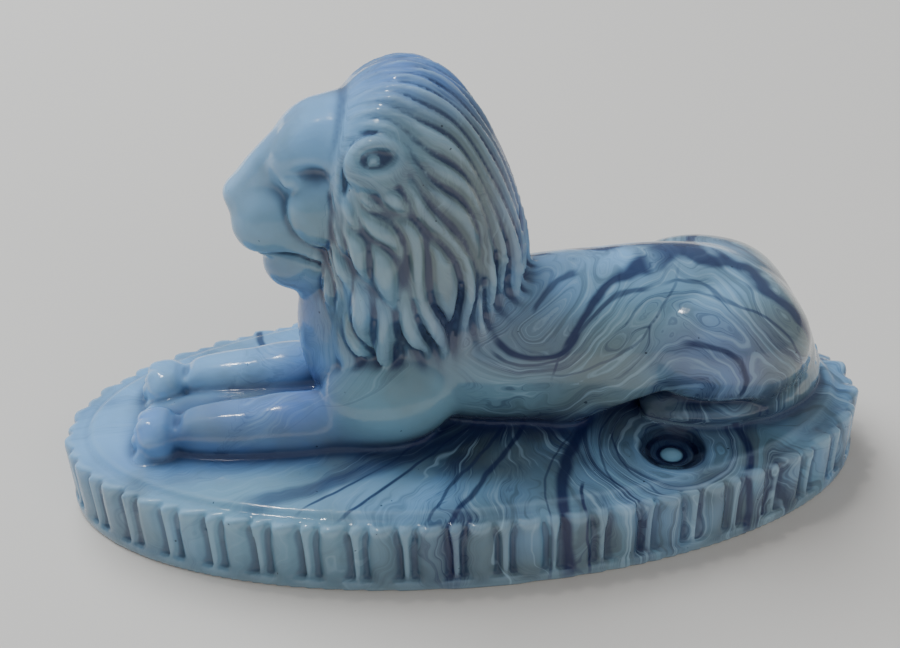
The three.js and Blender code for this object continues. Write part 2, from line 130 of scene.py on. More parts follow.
def smooth_cut(a, b, blend):
    return -smooth_join(-a, b, blend)


def ellipsoid(x, y, z, at, size, tilt, power=2):
    turn = math.radians(tilt)
    dx, dz = x - at[0], z - at[2]
    px = np.abs(dx * math.cos(turn) + dz * math.sin(turn)) / size[0]
    py = np.abs(y - at[1]) / size[1]
    pz = np.abs(dz * math.cos(turn) - dx * math.sin(turn)) / size[2]
    scaled = (px ** power + py ** power + pz ** power) ** (1 / power) + 1e-9
    slope = np.sqrt(sum((p ** (power - 1) / s) ** 2 for p, s in zip((px, py, pz), size))) + 1e-9
    return (scaled - 1) * scaled ** (power - 1) / slope


def segment(x, y, z, start, end):
    start, end = np.array(start, float), np.array(end, float)
    along = end - start
    ax, ay, az = x - start[0], y - start[1], z - start[2]
    t = np.clip((ax * along[0] + ay * along[1] + az * along[2]) / (along @ along), 0, 1)
    return np.sqrt((ax - t * along[0]) ** 2 + (ay - t * along[1]) ** 2 + (az - t * along[2]) ** 2)


def softened(d):
    """Each value is averaged with its neighbours, so that narrow grooves don't break up on the grid."""
    for axis in range(3):
        edges = [(1, 1) if k == axis else (0, 0) for k in range(3)]
        wide = np.moveaxis(np.pad(d, edges, mode="edge"), axis, 0)
        d = np.moveaxis(0.25 * wide[:-2] + 0.5 * wide[1:-1] + 0.25 * wide[2:], 0, axis)
    return d


class Field:
    """Distances on a grid of points. A form is only worked out in the box it can reach."""

    def __init__(self, low, high, cell):
        self.cell = cell
        self.axes = [np.arange(a, b + cell, cell, dtype=np.float32) for a, b in zip(low, high)]
        self.d = np.full([len(a) for a in self.axes], 4.0, np.float32)

    def window(self, low, high):
        found = [slice(*np.searchsorted(a, (p, q)).tolist()) for a, p, q in zip(self.axes, low, high)]
        if any(s.start >= s.stop for s in found):
            return None, None
        grids = np.meshgrid(*[a[s] for a, s in zip(self.axes, found)], indexing="ij", sparse=True)
        return tuple(found), grids

    def apply(self, low, high, change):
        found, grids = self.window(low, high)
        if found is not None:
            self.d[found] = change(self.d[found], *grids)

    def ellipsoid(self, at, size, tilt, blend, power=2, cut=False, twin=True):
        margin = 3.2 + blend
        turn = math.radians(tilt)
        reach = (math.hypot(size[0] * math.cos(turn), size[2] * math.sin(turn)), size[1],
                 math.hypot(size[0] * math.sin(turn), size[2] * math.cos(turn)))
        merge = smooth_cut if cut else smooth_join
        for side in ((-1, 1) if twin and at[1] else (1,)):
            centre = (at[0], at[1] * side, at[2])
            low = [c - r - margin for c, r in zip(centre, reach)]
            high = [c + r + margin for c, r in zip(centre, reach)]
            form = (centre, size, tilt, power)
            self.apply(low, high, lambda d, *place: merge(d, ellipsoid(*place, *form), blend))


def bezier(points, t):
    s = 1 - t
    return (s ** 3)[:, None] * points[0] + (3 * s * s * t)[:, None] * points[1] \
        + (3 * s * t * t)[:, None] * points[2] + (t ** 3)[:, None] * points[3]


STEPS = np.linspace(0, 1, 65)
INNER = bezier(INNER_CURVE, STEPS)
OUTER = bezier(OUTER_CURVE, STEPS)
HALF_WIDTHS = bezier(MANE_HALF_WIDTHS[:, None], STEPS)[:, 0]


def fan(x, z):
    """Where points of the side view lie among the mane's ovals.

    Gives t along the locks, c across them, the oval's half-lengths, and how far past the ovals it is."""
    across = OUTER - INNER
    length = np.hypot(across[:, 0], across[:, 1])

    def ahead(k):
        return ((x - INNER[k, 0]) * across[k, 1] - (z - INNER[k, 1]) * across[k, 0]) / length[k]

    low = np.zeros(x.shape, int)
    high = np.full(x.shape, len(STEPS) - 1)
    for _ in range(7):
        middle = (low + high) // 2
        beyond = ahead(middle) > 0
        low, high = np.where(beyond, middle, low), np.where(beyond, high, middle)
    high = np.minimum(low + 1, len(STEPS) - 1)
    low = high - 1
    before, after = ahead(low), ahead(high)
    part = np.clip(before / np.where(np.abs(before - after) < 1e-6, 1e-6, before - after), 0, 1)
    place = low + part
    inner = [np.interp(place, range(len(STEPS)), INNER[:, k]) for k in (0, 1)]
    span = [np.interp(place, range(len(STEPS)), across[:, k]) for k in (0, 1)]
    reach2 = span[0] ** 2 + span[1] ** 2
    c = ((x - inner[0]) * span[0] + (z - inner[1]) * span[1]) / reach2
    past = np.where(before < 0, before, np.where(after > 0, after, 0))
    half = np.interp(place, range(len(STEPS)), HALF_WIDTHS)
    return place / (len(STEPS) - 1), c, np.sqrt(reach2) / 2, half, past


def lock_height(t, turn):
    """Height of the locks from 0 to 1. turn is 0 on the middle of the back and 1 at the throat.

    The edges between the locks wave against each other, so each lock swells and narrows like a leaf."""
    lane = turn * LOCKS_PER_SIDE + 0.5
    drift = 0.45 * np.sin(np.pi * turn) * np.sin(2 * np.pi * (1.3 * t + 0.8 * turn))
    lane = lane + drift * smoothstep(t, 0.1, 0.4)
    wave = 0.07 + 0.33 * smoothstep(t, 0.2, 0.6) * smoothstep(turn, 0.1, 0.45)

    def edge(k):
        rate = 2.6 + 0.4 * np.sin(2.1 * k)
        return k + wave * np.sin(2 * np.pi * (rate * t + 0.5 * k + 0.14 * np.sin(3.7 * k)))

    index = np.floor(lane)
    index = index - (lane < edge(index))
    index = index + (lane > edge(index + 1))
    low, high = edge(index), edge(index + 1)
    width = high - low
    across = np.clip(2 * (lane - low) / width - 1, -1, 1)
    ridge = np.maximum(1 - np.abs(across) ** 2.2, 0) ** 0.9
    end = 0.95 + 0.035 * np.sin(1.9 * index + 1) - 0.07 * across ** 2
    return ridge * width + 0.08 * np.sin(2.6 * index), end


def add_mane(field):
    x, z = np.meshgrid(field.axes[0], field.axes[2], indexing="ij")
    t, c, reach, half, past = (v.astype(np.float32) for v in fan(x, z))
    found, (gx, gy, gz) = field.window((-26, -21, 19), (17, 21, 80))
    pick = (found[0], found[2])
    t, c, reach, half, past = (v[pick][:, None, :] for v in (t, c, reach, half, past))
    p, q = 2 * (c - 0.5), np.abs(gy) / half
    power = MANE_SQUARENESS
    scaled = (np.abs(p) ** power + q ** power) ** (1 / power) + 1e-6
    slope = np.sqrt((p / reach) ** 2 + (q / half) ** 2) + 1e-6
    round_scaled = np.sqrt(p * p + q * q) + 1e-6
    d = scaled * (scaled - 1) / slope * (scaled / round_scaled)
    turn = np.arctan2(q, p) / np.pi
    rise = smoothstep(t, 0, 0.08)
    d = d + 1.4 * (1 - rise)
    near = np.abs(d) < 3.5
    t3 = np.broadcast_to(t, d.shape)[near]
    height, end = lock_height(t3, turn[near])
    spacing = np.broadcast_to((reach + half) * np.pi / 2 / LOCKS_PER_SIDE, d.shape)[near]
    depth = LOCK_DEPTH * np.minimum(spacing / 2.7, 1.1) ** 0.8 * smoothstep(t3, 0, 0.12)
    d[near] += 2.6 * smoothstep(t3, end - 0.06, end + 0.02) - depth * (height - 0.55)
    d = softened(np.where(past != 0, np.sqrt(np.maximum(d, 0) ** 2 + past ** 2), d))
    field.d[found] = smooth_join(field.d[found], d, 0.7 + 2.5 * smoothstep(gz, 62, 70))


def add_head(field):
    for _, *form in HEAD:
        field.ellipsoid(*form)
    field.ellipsoid(*EYE_HOLLOW, cut=True)
    field.ellipsoid(*EYE)

    def mouth(d, x, y, z):
        height = MOUTH_HEIGHT - 0.03 * np.maximum(x + 28, 0) ** 2
        line = np.maximum(np.maximum(np.abs(z - height) - 0.3, x + 22.4), -d - 0.9)
        return smooth_cut(d, line, 0.6)

    field.apply((-36, -10, 43), (-20, 10, 50), mouth)


def add_ears(field):
    field.ellipsoid(*EAR_GAP, cut=True)
    field.ellipsoid(*EAR)
    field.ellipsoid(*EAR_HOLLOW, cut=True)
    field.ellipsoid(*EAR_BALL)


def tail_points(count=40):
    """A smooth curve through the tail's path, with the radius at each of its points."""
    path = np.array([TAIL_PATH[0], *TAIL_PATH, TAIL_PATH[-1]], float)
    place = np.linspace(0, len(TAIL_PATH) - 1, count)
    k = np.minimum(place.astype(int), len(TAIL_PATH) - 2)
    f = (place - k)[:, None]
    a, b, c, d = (path[k + i] for i in range(4))
    bend, twist = 2 * a - 5 * b + 4 * c - d, 3 * b - a - 3 * c + d
    points = 0.5 * (2 * b + (c - a) * f + bend * f ** 2 + twist * f ** 3)
    return points, TAIL_RADIUS * (1 - 0.3 * np.linspace(0, 1, count) ** 3)


def add_body(field):
    for _, *form in TRUNK:
        field.ellipsoid(*form)
    field.ellipsoid(*FLANK_HOLLOW, cut=True)
    for _, *form in LIMBS:
        field.ellipsoid(*form)
    field.ellipsoid(*WRIST_GROOVE, cut=True)
    for offset in TOES:
        knuckle = (-53.9 + 0.08 * offset ** 2, 7.1 + offset, 18.3 - 0.14 * offset ** 2)
        field.ellipsoid(knuckle, (1.9, 1.35, 1.7), 0, 0.4)
        field.ellipsoid((knuckle[0] - 1.6, knuckle[1], knuckle[2] - 2.7), (1.5, 1.3, 1.7), 0, 0.5)

    def thigh(side):
        at, size, tilt = THIGH
        def merge(d, x, y, z):
            form = ellipsoid(x, y, z, (at[0], at[1] * side, at[2]), size, tilt)
            return smooth_join(d, form, 0.8 + 5 * smoothstep(x, 36, 54))
        return merge

    field.apply((20, -24, 8), (66, 0, 42), thigh(-1))
    field.apply((20, 0, 8), (66, 24, 42), thigh(1))

    def tail(d, x, y, z):
        points, radii = tail_points()
        rope = np.full(d.shape, 1e3, np.float32)
        for start, end, radius in zip(points[:-1], points[1:], radii):
            rope = np.minimum(rope, segment(x, y, z, start, end) - radius)
        return smooth_join(d, rope, 0.9)

    field.apply((26, -18, 10), (67, 12, 22), tail)


def oval(x, y, a, b):
    scaled = np.sqrt((x / a) ** 2 + (y / b) ** 2) + 1e-9
    return scaled * (scaled - 1) / np.sqrt((x / a ** 2) ** 2 + (y / b ** 2) ** 2)


def slab(outside, z, bottom, top, rounding):
    level = np.maximum(z - (top - rounding), bottom + rounding - z)
    outside = outside + rounding
    beyond = np.hypot(np.maximum(outside, 0), np.maximum(level, 0))
    return np.minimum(np.maximum(outside, level), 0) + beyond - rounding


def girth_share(x, y):
    """How far round the plinth's oval a point lies, in rib pairs from the first narrow rib."""
    angle = np.linspace(-np.pi, np.pi, 4001)
    px, py = LENGTH / 2 * np.cos(angle), WIDTH / 2 * np.sin(angle)
    length = np.concatenate([[0], np.cumsum(np.hypot(np.diff(px), np.diff(py)))])
    start = np.interp(-np.pi / 2, angle, length)
    here = np.interp(np.arctan2(y / WIDTH, x / LENGTH), angle, length)
    return (here - start - FIRST_NARROW_RIB) * RIB_PAIRS / length[-1]


def add_plinth(field):
    x, y = np.meshgrid(field.axes[0], field.axes[1], indexing="ij")
    u = np.mod(girth_share(x, y) + 0.5, 1) - 0.5
    found, (gx, gy, gz) = field.window((-75, -40, -2), (75, 40, 18))
    u = np.abs(u[found[0], found[1]])[:, :, None]
    outside = oval(gx, gy, LENGTH / 2 - 0.15, WIDTH / 2 - 0.15)

    # A wide rib and a narrow one that flares at the top, with a groove on each side of it
    flare = smoothstep(gz, 7.5, 12.2)
    narrow = 0.12 + 0.07 * flare
    from_wide = np.clip((0.5 - u) / (0.5 - narrow), 0, 1)
    from_narrow = np.clip(u / narrow, 0, 1)
    wide_rib = from_wide ** 2
    narrow_rib = 0.1 + 0.9 * from_narrow ** 2
    groove = RIB_DEPTH * np.where(u < narrow, narrow_rib, wide_rib)

    # The ribs' tops droop towards the grooves, further in at the end behind the lion
    behind = smoothstep(gx, 36, 56)
    droop = (0.35 + 0.9 * behind) * smoothstep(outside, -2 - 2.4 * behind, -0.4)
    arch = LEDGE_HEIGHT - droop * np.where(u < narrow, 0.8, from_wide ** 2)
    wall = slab(outside + groove, gz, 0.2, arch, 0.7)
    lip = slab(oval(gx, gy, LENGTH / 2, WIDTH / 2), gz, 0, 2.1, 0.45)
    step = slab(oval(gx, gy, LENGTH / 2 - 4.6, WIDTH / 2 - 3.1), gz, 2, PLINTH_TOP, 0.8)
    plinth = smooth_join(smooth_join(wall, lip, 0.4), step, 0.7)

    # The dimple is a cap of a sphere with a low round button in it
    radius = (DIMPLE_RADIUS ** 2 + DIMPLE_DEPTH ** 2) / (2 * DIMPLE_DEPTH)
    ball = ellipsoid(gx, gy, gz, (*DIMPLE, PLINTH_TOP + radius - DIMPLE_DEPTH), (radius,) * 3, 0)
    plinth = smooth_cut(plinth, ball, 0.3)
    button = ellipsoid(gx, gy, gz, (*DIMPLE, PLINTH_TOP - DIMPLE_DEPTH), (1.9, 1.9, 0.6), 0)
    plinth = smooth_join(plinth, button, 0.3)
    field.d[found] = smooth_join(field.d[found], plinth, 1.4)


def lion_field():
    field = Field((-71.5, -34.5, -1.5), (71.5, 34.5, 77.5), CELL)
    add_head(field)
    add_mane(field)
    add_ears(field)
    add_body(field)
    add_plinth(field)
    return field


def largest_shell(points, quads):
    """The grid leaves a few tiny bubbles at the bottom of the narrowest grooves, which are dropped."""
    shell = np.arange(len(points))
    sides = np.concatenate([quads[:, [k, (k + 1) % 4]] for k in range(4)])
    settled = False
    while not settled:
        lowest = shell.copy()
        np.minimum.at(lowest, sides[:, 0], shell[sides[:, 1]])
        np.minimum.at(lowest, sides[:, 1], shell[sides[:, 0]])
        lowest = lowest[lowest]
        settled = (lowest == shell).all()
        shell = lowest
    kept = shell == np.bincount(shell).argmax()
    number = np.cumsum(kept) - 1
    return points[kept], number[quads[kept[quads[:, 0]]]]


def mesh_of(field):
    grid = openvdb.FloatGrid(4.0)
    grid.copyFromArray(np.clip(field.d, -2, 2), tolerance=0.0)
    points, quads = largest_shell(*grid.convertToQuads(isovalue=0.0))
    low = np.array([a[0] for a in field.axes])
    points = (points * field.cell + low) / 1000
    mesh = bpy.data.meshes.new("lion paperweight")
    mesh.vertices.add(len(points))
    mesh.vertices.foreach_set("co", points.astype(np.float32).ravel())
    mesh.loops.add(quads.size)
    mesh.loops.foreach_set("vertex_index", quads.astype(np.int32).ravel())
    mesh.polygons.add(len(quads))
    mesh.polygons.foreach_set("loop_start", np.arange(0, quads.size, 4, dtype=np.int32))
    mesh.update(calc_edges=True)
    mesh.validate()
    return mesh


def points_of(mesh):
    points = np.empty(len(mesh.vertices) * 3, np.float32)
    mesh.vertices.foreach_get("co", points)
    return points.reshape(-1, 3).astype(float) * 1000


def lay_on_floor(mesh, reach=0.05):
    """Points below the floor, or nearer to it than the reach, are set on it."""
    points = points_of(mesh)
    points[points[:, 2] < reach, 2] = 0
    mesh.vertices.foreach_set("co", (points / 1000).astype(np.float32).ravel())
    mesh.update()


def with_coarse_underside(mesh):
    """The flat underside needs few triangles, which leaves more for the carving."""
    lay_on_floor(mesh)
    piece = bpy.data.objects.new("Paperweight", mesh)
    bpy.context.scene.collection.objects.link(piece)
    height = points_of(mesh)[:, 2]
    group = piece.vertex_groups.new(name="underside")
    group.add(np.nonzero(height < 0.3)[0].tolist(), 1, "REPLACE")
    count = sum(len(p.vertices) - 2 for p in mesh.polygons)
    modifier = piece.modifiers.new("fewer", "DECIMATE")
    modifier.vertex_group = "underside"
    modifier.vertex_group_factor = 10
    modifier.ratio = min(MOST_TRIANGLES / count, 1)
    graph = bpy.context.evaluated_depsgraph_get()
    smaller = bpy.data.meshes.new_from_object(piece.evaluated_get(graph))
    piece.modifiers.clear()
    piece.vertex_groups.clear()
    piece.data = smaller
    smaller.polygons.foreach_set("use_smooth", np.ones(len(smaller.polygons), bool))
    lay_on_floor(smaller)
    return piece


field = lion_field()
paperweight = with_coarse_underside(mesh_of(field))
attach(paperweight, "root")
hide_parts(NODE)


# The glass's colours, as linear red, green and blue
def linear(*values):
    return np.array([((v / 255 + 0.055) / 1.055) ** 2.4 if v > 10 else v / 255 / 12.92 for v in values])


SKY = linear(128, 182, 232)
PALE = linear(170, 203, 224)
AQUA = linear(112, 158, 182)
SAGE = linear(104, 120, 120)
STEEL = linear(84, 108, 124)
SLATE = linear(66, 84, 98)
LILAC = linear(112, 124, 162)
COBALT = linear(44, 84, 176)
ROYAL = linear(88, 134, 214)
DUSK = linear(74, 92, 152)
NAVY = linear(26, 36, 78)
INK = linear(12, 17, 40)

# Broad washes of colour: colour, centre, half-lengths, and strength against the ground colour.
# The ground is sage above the plinth and steel on it. Some washes are painted light, reflection and shade,
# as marked.
WASHES = [
    (SKY, (-30, 0, 60), (10, 14, 12), 3),
    # Painted highlight: pale on the flat top of the nose
    (PALE, (-34, 0, 58), (5, 6, 5), 2.5),
    (AQUA, (-26, -8, 52), (9, 6, 10), 3),
    # Painted light: sky blue on the top of the head, where the window light falls
    (SKY, (-18, 0, 70), (10, 12, 6), 3),
    (ROYAL, (-6, 2, 76), (12, 9, 6), 4),
    (AQUA, (-12, -14, 66), (9, 6, 8), 1.5),
    (SAGE, (-2, -15, 56), (12, 8, 14), 2),
    (DUSK, (12, -4, 52), (6, 12, 18), 2.5),
    (DUSK, (4, 6, 70), (10, 8, 10), 2),
    (AQUA, (-15, -13, 38), (7, 8, 12), 1.5),
    (LILAC, (0, -15, 36), (9, 6, 8), 1.5),
    (ROYAL, (-27, -2, 33), (5, 6, 10), 4),
    (ROYAL, (-25, 5, 22), (9, 8, 8), 2),
    (SKY, (-37, 8, 20), (14, 5, 5), 4),
    (SKY, (-54, 8, 17), (5, 6, 5), 3),
    (DUSK, (-36, -8, 17), (14, 6, 6), 4),
    (ROYAL, (-30, -8, 21), (7, 5, 3), 3),
    (COBALT, (-40, -12, 15), (18, 4, 3), 2),
    # Painted shade: navy in the valley between the forelegs and in the near wrist groove
    (NAVY, (-35, -1.5, 17), (14, 2.4, 3), 9),
    (NAVY, (-48.5, -6, 17), (2.6, 8, 5), 7),
    (ROYAL, (-54, -7, 18), (4, 6, 4), 4),
    (AQUA, (-12, -14, 21), (10, 6, 8), 3),
    (AQUA, (4, -12, 22), (9, 5, 7), 1.5),
    # Painted light: sky blue along the top of the back, where the window light falls
    (SKY, (22, 0, 40), (26, 9, 4), 4),
    (AQUA, (28, -6, 37), (18, 7, 5), 1.5),
    (LILAC, (38, -18, 27), (10, 6, 8), 3),
    (AQUA, (31, -13, 23), (6, 6, 7), 2),
    (DUSK, (40, -17, 28), (6, 5, 4), 2),
    # Painted reflection: sky blue on the plinth's left end, in place of the window's sheen
    (SKY, (-58, 4, 13), (16, 22, 8), 4),
    (AQUA, (-40, -24, 13), (22, 12, 8), 3),
    (SKY, (-13, -24, 13.4), (9, 4.5, 3), 4),
    # Painted light: sky blue on the plinth's far side, nearest the window light
    (SKY, (-40, 24, 13), (26, 8, 8), 3),
    (SKY, (10, 27, 13), (50, 6, 6), 2),
    (SKY, (62, 12, 12), (9, 12, 8), 4),
    # Painted shadow: ink and navy where the near leg and the belly meet the plinth
    (INK, (-1, -15, 14), (7, 4, 2.5), 12),
    (NAVY, (-12, -17.5, 14), (12, 3.4, 2), 8),
    (NAVY, (16, -12, 14), (14, 7, 3), 3),
    (SLATE, (38, -18, 12), (16, 12, 8), 2),
    # Painted shade: navy in the hollow under the flank
    (NAVY, (29, -6, 15), (5, 6, 4), 5),
]


def wash_colours(points):
    ground = smoothstep(points[:, 2], 13, 15)[:, None]
    total = SAGE * ground + STEEL * (1 - ground)
    weight = np.ones((len(points), 1))
    for colour, centre, size, strength in WASHES:
        w = strength * np.exp(-(((points - centre) / size) ** 2).sum(1))[:, None]
        total = total + colour * w
        weight = weight + w
    return total / weight


# Lines that the streams in the glass follow on the lion's sides: x and z in the side view, and each line's
# place in the stack of streams
STREAM_GUIDES = [
    ([(31, 40), (25, 39.6), (20.5, 36.6), (16.6, 33), (12.2, 29.9), (7.9, 30), (3.9, 33)], 0),
    ([(34, 40), (29.8, 34.2), (24.1, 29), (17, 24.5), (9, 23), (-2, 23)], 9),
    ([(31.4, 40.5), (41, 40.5), (46, 38), (52.9, 32), (57.9, 25), (59, 16)], 0),
    ([(31.5, 36), (37.2, 33), (41.7, 30), (43.5, 25.9), (43.7, 19)], 10),
    ([(18, 42), (13.9, 38), (10, 34)], -9),
]


def distance_to_line(x, z, line):
    """The signed distance to the line, and how far along it the nearest point is."""
    best = np.full(x.shape, 1e9)
    signed = np.zeros(x.shape)
    along = np.zeros(x.shape)
    passed = 0.0
    for (x0, z0), (x1, z1) in zip(line[:-1], line[1:]):
        length = math.hypot(x1 - x0, z1 - z0)
        ux, uz = (x1 - x0) / length, (z1 - z0) / length
        part = np.clip((x - x0) * ux + (z - z0) * uz, 0, length)
        gap = np.hypot(x - x0 - part * ux, z - z0 - part * uz)
        side = np.sign((x - x0) * uz - (z - z0) * ux)
        nearer = gap < best
        best = np.where(nearer, gap, best)
        signed = np.where(nearer, gap * side, signed)
        along = np.where(nearer, passed + part, along)
        passed += length
    return signed, along


def streams(points):
    """Across and along the streams in millimetres, and how strongly they show."""
    x, y, z = points.T
    side_x = x + 6 * smoothstep(y, -2, 8)
    across, along, total = (np.zeros(len(x)) for _ in range(3))
    for line, place in STREAM_GUIDES:
        signed, run = distance_to_line(side_x, z, line)
        weight = 1 / (np.abs(signed) + 1.5) ** 3
        across += weight * (place + np.abs(signed) * (1 if place >= 0 else -1))
        along += weight * run
        total += weight
    body = np.stack([across / total, along / total, 0.8 * smoothstep(x, -6, 8)], 1)

    # On the plinth they spread from under the lion and bend round the dimple
    from_lion = np.arctan2(y + 2, (x - 6) * 0.6)
    spread = np.hypot(y + 2, (x - 6) * 0.6)
    ring = np.hypot(x - DIMPLE[0], y - DIMPLE[1])
    near = smoothstep(ring, 17, 7)
    base = np.stack([from_lion * 24 * (1 - near) + ring * near, spread,
                     0.25 + 0.75 * smoothstep(x, -34, 0)], 1)

    t, c, reach, half, _ = fan(x, z)
    turn = np.arctan2(np.abs(y) / half, 2 * (c - 0.5)) / np.pi
    level = np.hypot(2 * (c - 0.5), y / half)
    hair = smoothstep(level, 0.86, 0.94) * smoothstep(t, 0.02, 0.06) * smoothstep(t, 0.99, 0.96)
    hair_stream = np.stack([turn * 45, t * 40, np.full(len(x), 0.35)], 1)
    result = body + (hair_stream - body) * hair[:, None]
    on_plinth = smoothstep(z, 14.6, 13.9)[:, None]
    return result + (base - result) * on_plinth, hair * (1 - on_plinth[:, 0])


def averaged(d, steps):
    for axis in range(3):
        edges = [(steps + 1, steps) if k == axis else (0, 0) for k in range(3)]
        total = np.cumsum(np.moveaxis(np.pad(d, edges, mode="edge"), axis, 0), 0, dtype=np.float64)
        d = np.moveaxis((total[2 * steps + 1:] - total[:-2 * steps - 1]) / (2 * steps + 1), 0, axis)
    return d.astype(np.float32)


def sampled(values, places):
    """Values of the grid at places between its points."""
    low = np.clip(places.astype(int), 0, np.array(values.shape) - 2)
    part = places - low
    result = np.zeros(len(places))
    for corner in np.ndindex(2, 2, 2):
        share = np.prod(np.where(corner, part, 1 - part), axis=1)
        result += share * values[tuple((low + corner).T)]
    return result


def hollowness(field, points, reach):
    """Above 0 in hollows and below 0 on ridges, in parts of the reach in millimetres."""
    steps = max(int(round(reach / field.cell)), 1)
    clipped = np.clip(field.d, -2 * reach, 2 * reach)
    places = (points - [a[0] for a in field.axes]) / field.cell
    return -(sampled(averaged(clipped, steps), places) - sampled(clipped, places)) / reach


def add_attribute(mesh, name, kind, values):
    layer = mesh.attributes.new(name, kind, "POINT")
    key = {"FLOAT": "value", "FLOAT_VECTOR": "vector", "FLOAT_COLOR": "color"}[kind]
    layer.data.foreach_set(key, np.ascontiguousarray(values, np.float32).ravel())


def add_colour_attributes(mesh):
    points = points_of(mesh)
    colours = np.concatenate([wash_colours(points), np.ones((len(points), 1))], 1)
    add_attribute(mesh, "wash", "FLOAT_COLOR", colours)
    stream, hair = streams(points)
    add_attribute(mesh, "stream", "FLOAT_VECTOR", stream)
    # How hollow or ridged each point is, which sets the painted shade in hollows and the painted highlight
    # on ridges
    hollows = np.stack([hollowness(field, points, 1.2), hollowness(field, points, 4), hair], 1)
    add_attribute(mesh, "hollow", "FLOAT_VECTOR", hollows)


# Dark threads in the glass, each an arc through three points: the view it is drawn in, the points in
# millimetres, its width and its strength
THREADS = [
    ("side", [(31, 40.2), (21.5, 37.4), (17.2, 33.4)], 0.9, 0.9),
    ("side", [(17.6, 34), (11.2, 29.7), (3.6, 32.8)], 0.9, 0.9),
    ("side", [(30, 38.4), (19.6, 34.8), (15.6, 31)], 0.5, 0.7),
    ("side", [(15.8, 31.2), (10, 28.3), (3.4, 31)], 0.5, 0.7),
    ("side", [(31.5, 40.3), (48.8, 36.4), (58.4, 20)], 0.8, 0.85),
    ("side", [(33, 38.6), (46.5, 34.6), (55.6, 22)], 0.35, 0.6),
    ("side", [(34, 32.2), (41.6, 29.8), (43.6, 21.5)], 0.8, 0.8),
    ("side", [(18.4, 39.6), (14, 38.6), (10.8, 36.8)], 0.6, 0.7),
    ("side", [(33.5, 38), (25, 30.5), (12, 26.4)], 0.35, 0.45),
    ("plan", [(-4.5, -9.6), (-16, -17.4), (-29, -26.6)], 0.45, 0.8),
    ("plan", [(2, -7.7), (-10, -17.4), (-22.6, -29)], 0.55, 0.85),
    ("plan", [(9.4, -9), (1.6, -20.6), (-6.6, -34)], 0.9, 0.85),
    ("plan", [(6, -8.4), (-1.8, -19.6), (-9.4, -31)], 0.5, 0.7),
    ("plan", [(20.7, -7.1), (14.6, -20), (12.9, -36)], 1.8, 0.95),
    ("plan", [(16.6, -12), (11.4, -22), (10.4, -36)], 0.4, 0.6),
    ("plan", [(16.2, -25), (16.3, -31), (17.4, -36)], 0.5, 0.9),
    ("plan", [(43, -8), (44.6, -17), (41.8, -31)], 1.1, 0.9),
    ("plan", [(24.5, -8.2), (20, -19), (26, -31)], 0.4, 0.6),
    ("plan", [(27, -7.6), (23.2, -19), (30, -29)], 0.35, 0.55),
    ("plan", [(-3, -12), (-15, -17.6), (-38, -24.6)], 3.2, 0.6),
    ("plan", [(-37.4, 27), (-37.3, 23.5), (-36.6, 20)], 1.2, 0.8),
]


class Nodes:
    """Short names for the shader nodes that the glass needs."""

    def __init__(self, tree):
        self.tree = tree

    def new(self, kind, inputs=(), output=0, **settings):
        node = self.tree.nodes.new(kind)
        for name, value in settings.items():
            setattr(node, name, value)
        for name, value in dict(inputs).items():
            if isinstance(value, bpy.types.NodeSocket):
                self.tree.links.new(value, node.inputs[name])
            else:
                node.inputs[name].default_value = value
        return node.outputs[output]

    def math(self, operation, a, b=0.0):
        return self.new("ShaderNodeMath", {0: a, 1: b}, operation=operation)

    def distance(self, a, b):
        return self.new("ShaderNodeVectorMath", {0: a, 1: b}, output=1, operation="DISTANCE")

    def ramp(self, value, low, high, start=0.0, end=1.0):
        inputs = {"Value": value, "From Min": low, "From Max": high, "To Min": start, "To Max": end}
        return self.new("ShaderNodeMapRange", inputs, interpolation_type="SMOOTHSTEP")

    def mix(self, share, a, b):
        inputs = {"Factor": share, "A": a, "B": b}
        node = self.tree.nodes.new("ShaderNodeMix")
        node.data_type = "RGBA"
        for socket in node.inputs:
            if socket.enabled and socket.name in inputs:
                value = inputs[socket.name]
                if isinstance(value, bpy.types.NodeSocket):
                    self.tree.links.new(value, socket)
                else:
                    socket.default_value = value if socket.name == "Factor" else (*value, 1)
        return next(s for s in node.outputs if s.enabled)

    def noise(self, vector, scale, detail=2.0, roughness=0.5):
        inputs = {"Vector": vector, "Scale": scale, "Detail": detail, "Roughness": roughness}
        return self.new("ShaderNodeTexNoise", inputs)

    def vector(self, x, y, z):
        return self.new("ShaderNodeCombineXYZ", {"X": x, "Y": y, "Z": z})

    def parts(self, vector):
        node = self.tree.nodes.new("ShaderNodeSeparateXYZ")
        self.tree.links.new(vector, node.inputs[0])
        return node.outputs[0], node.outputs[1], node.outputs[2]

    def attribute(self, name):
        node = self.tree.nodes.new("ShaderNodeAttribute")
        node.attribute_name = name
        return node.outputs["Color"] if name == "wash" else node.outputs["Vector"]


def circle_through(points):
    (ax, ay), (bx, by), (cx, cy) = points
    a2, b2, c2 = (px ** 2 + py ** 2 for px, py in points)
    d = 2 * (ax * (by - cy) + bx * (cy - ay) + cx * (ay - by))
    ux = (a2 * (by - cy) + b2 * (cy - ay) + c2 * (ay - by)) / d
    uy = (a2 * (cx - bx) + b2 * (ax - cx) + c2 * (bx - ax)) / d
    return (ux, uy), math.hypot(ax - ux, ay - uy)


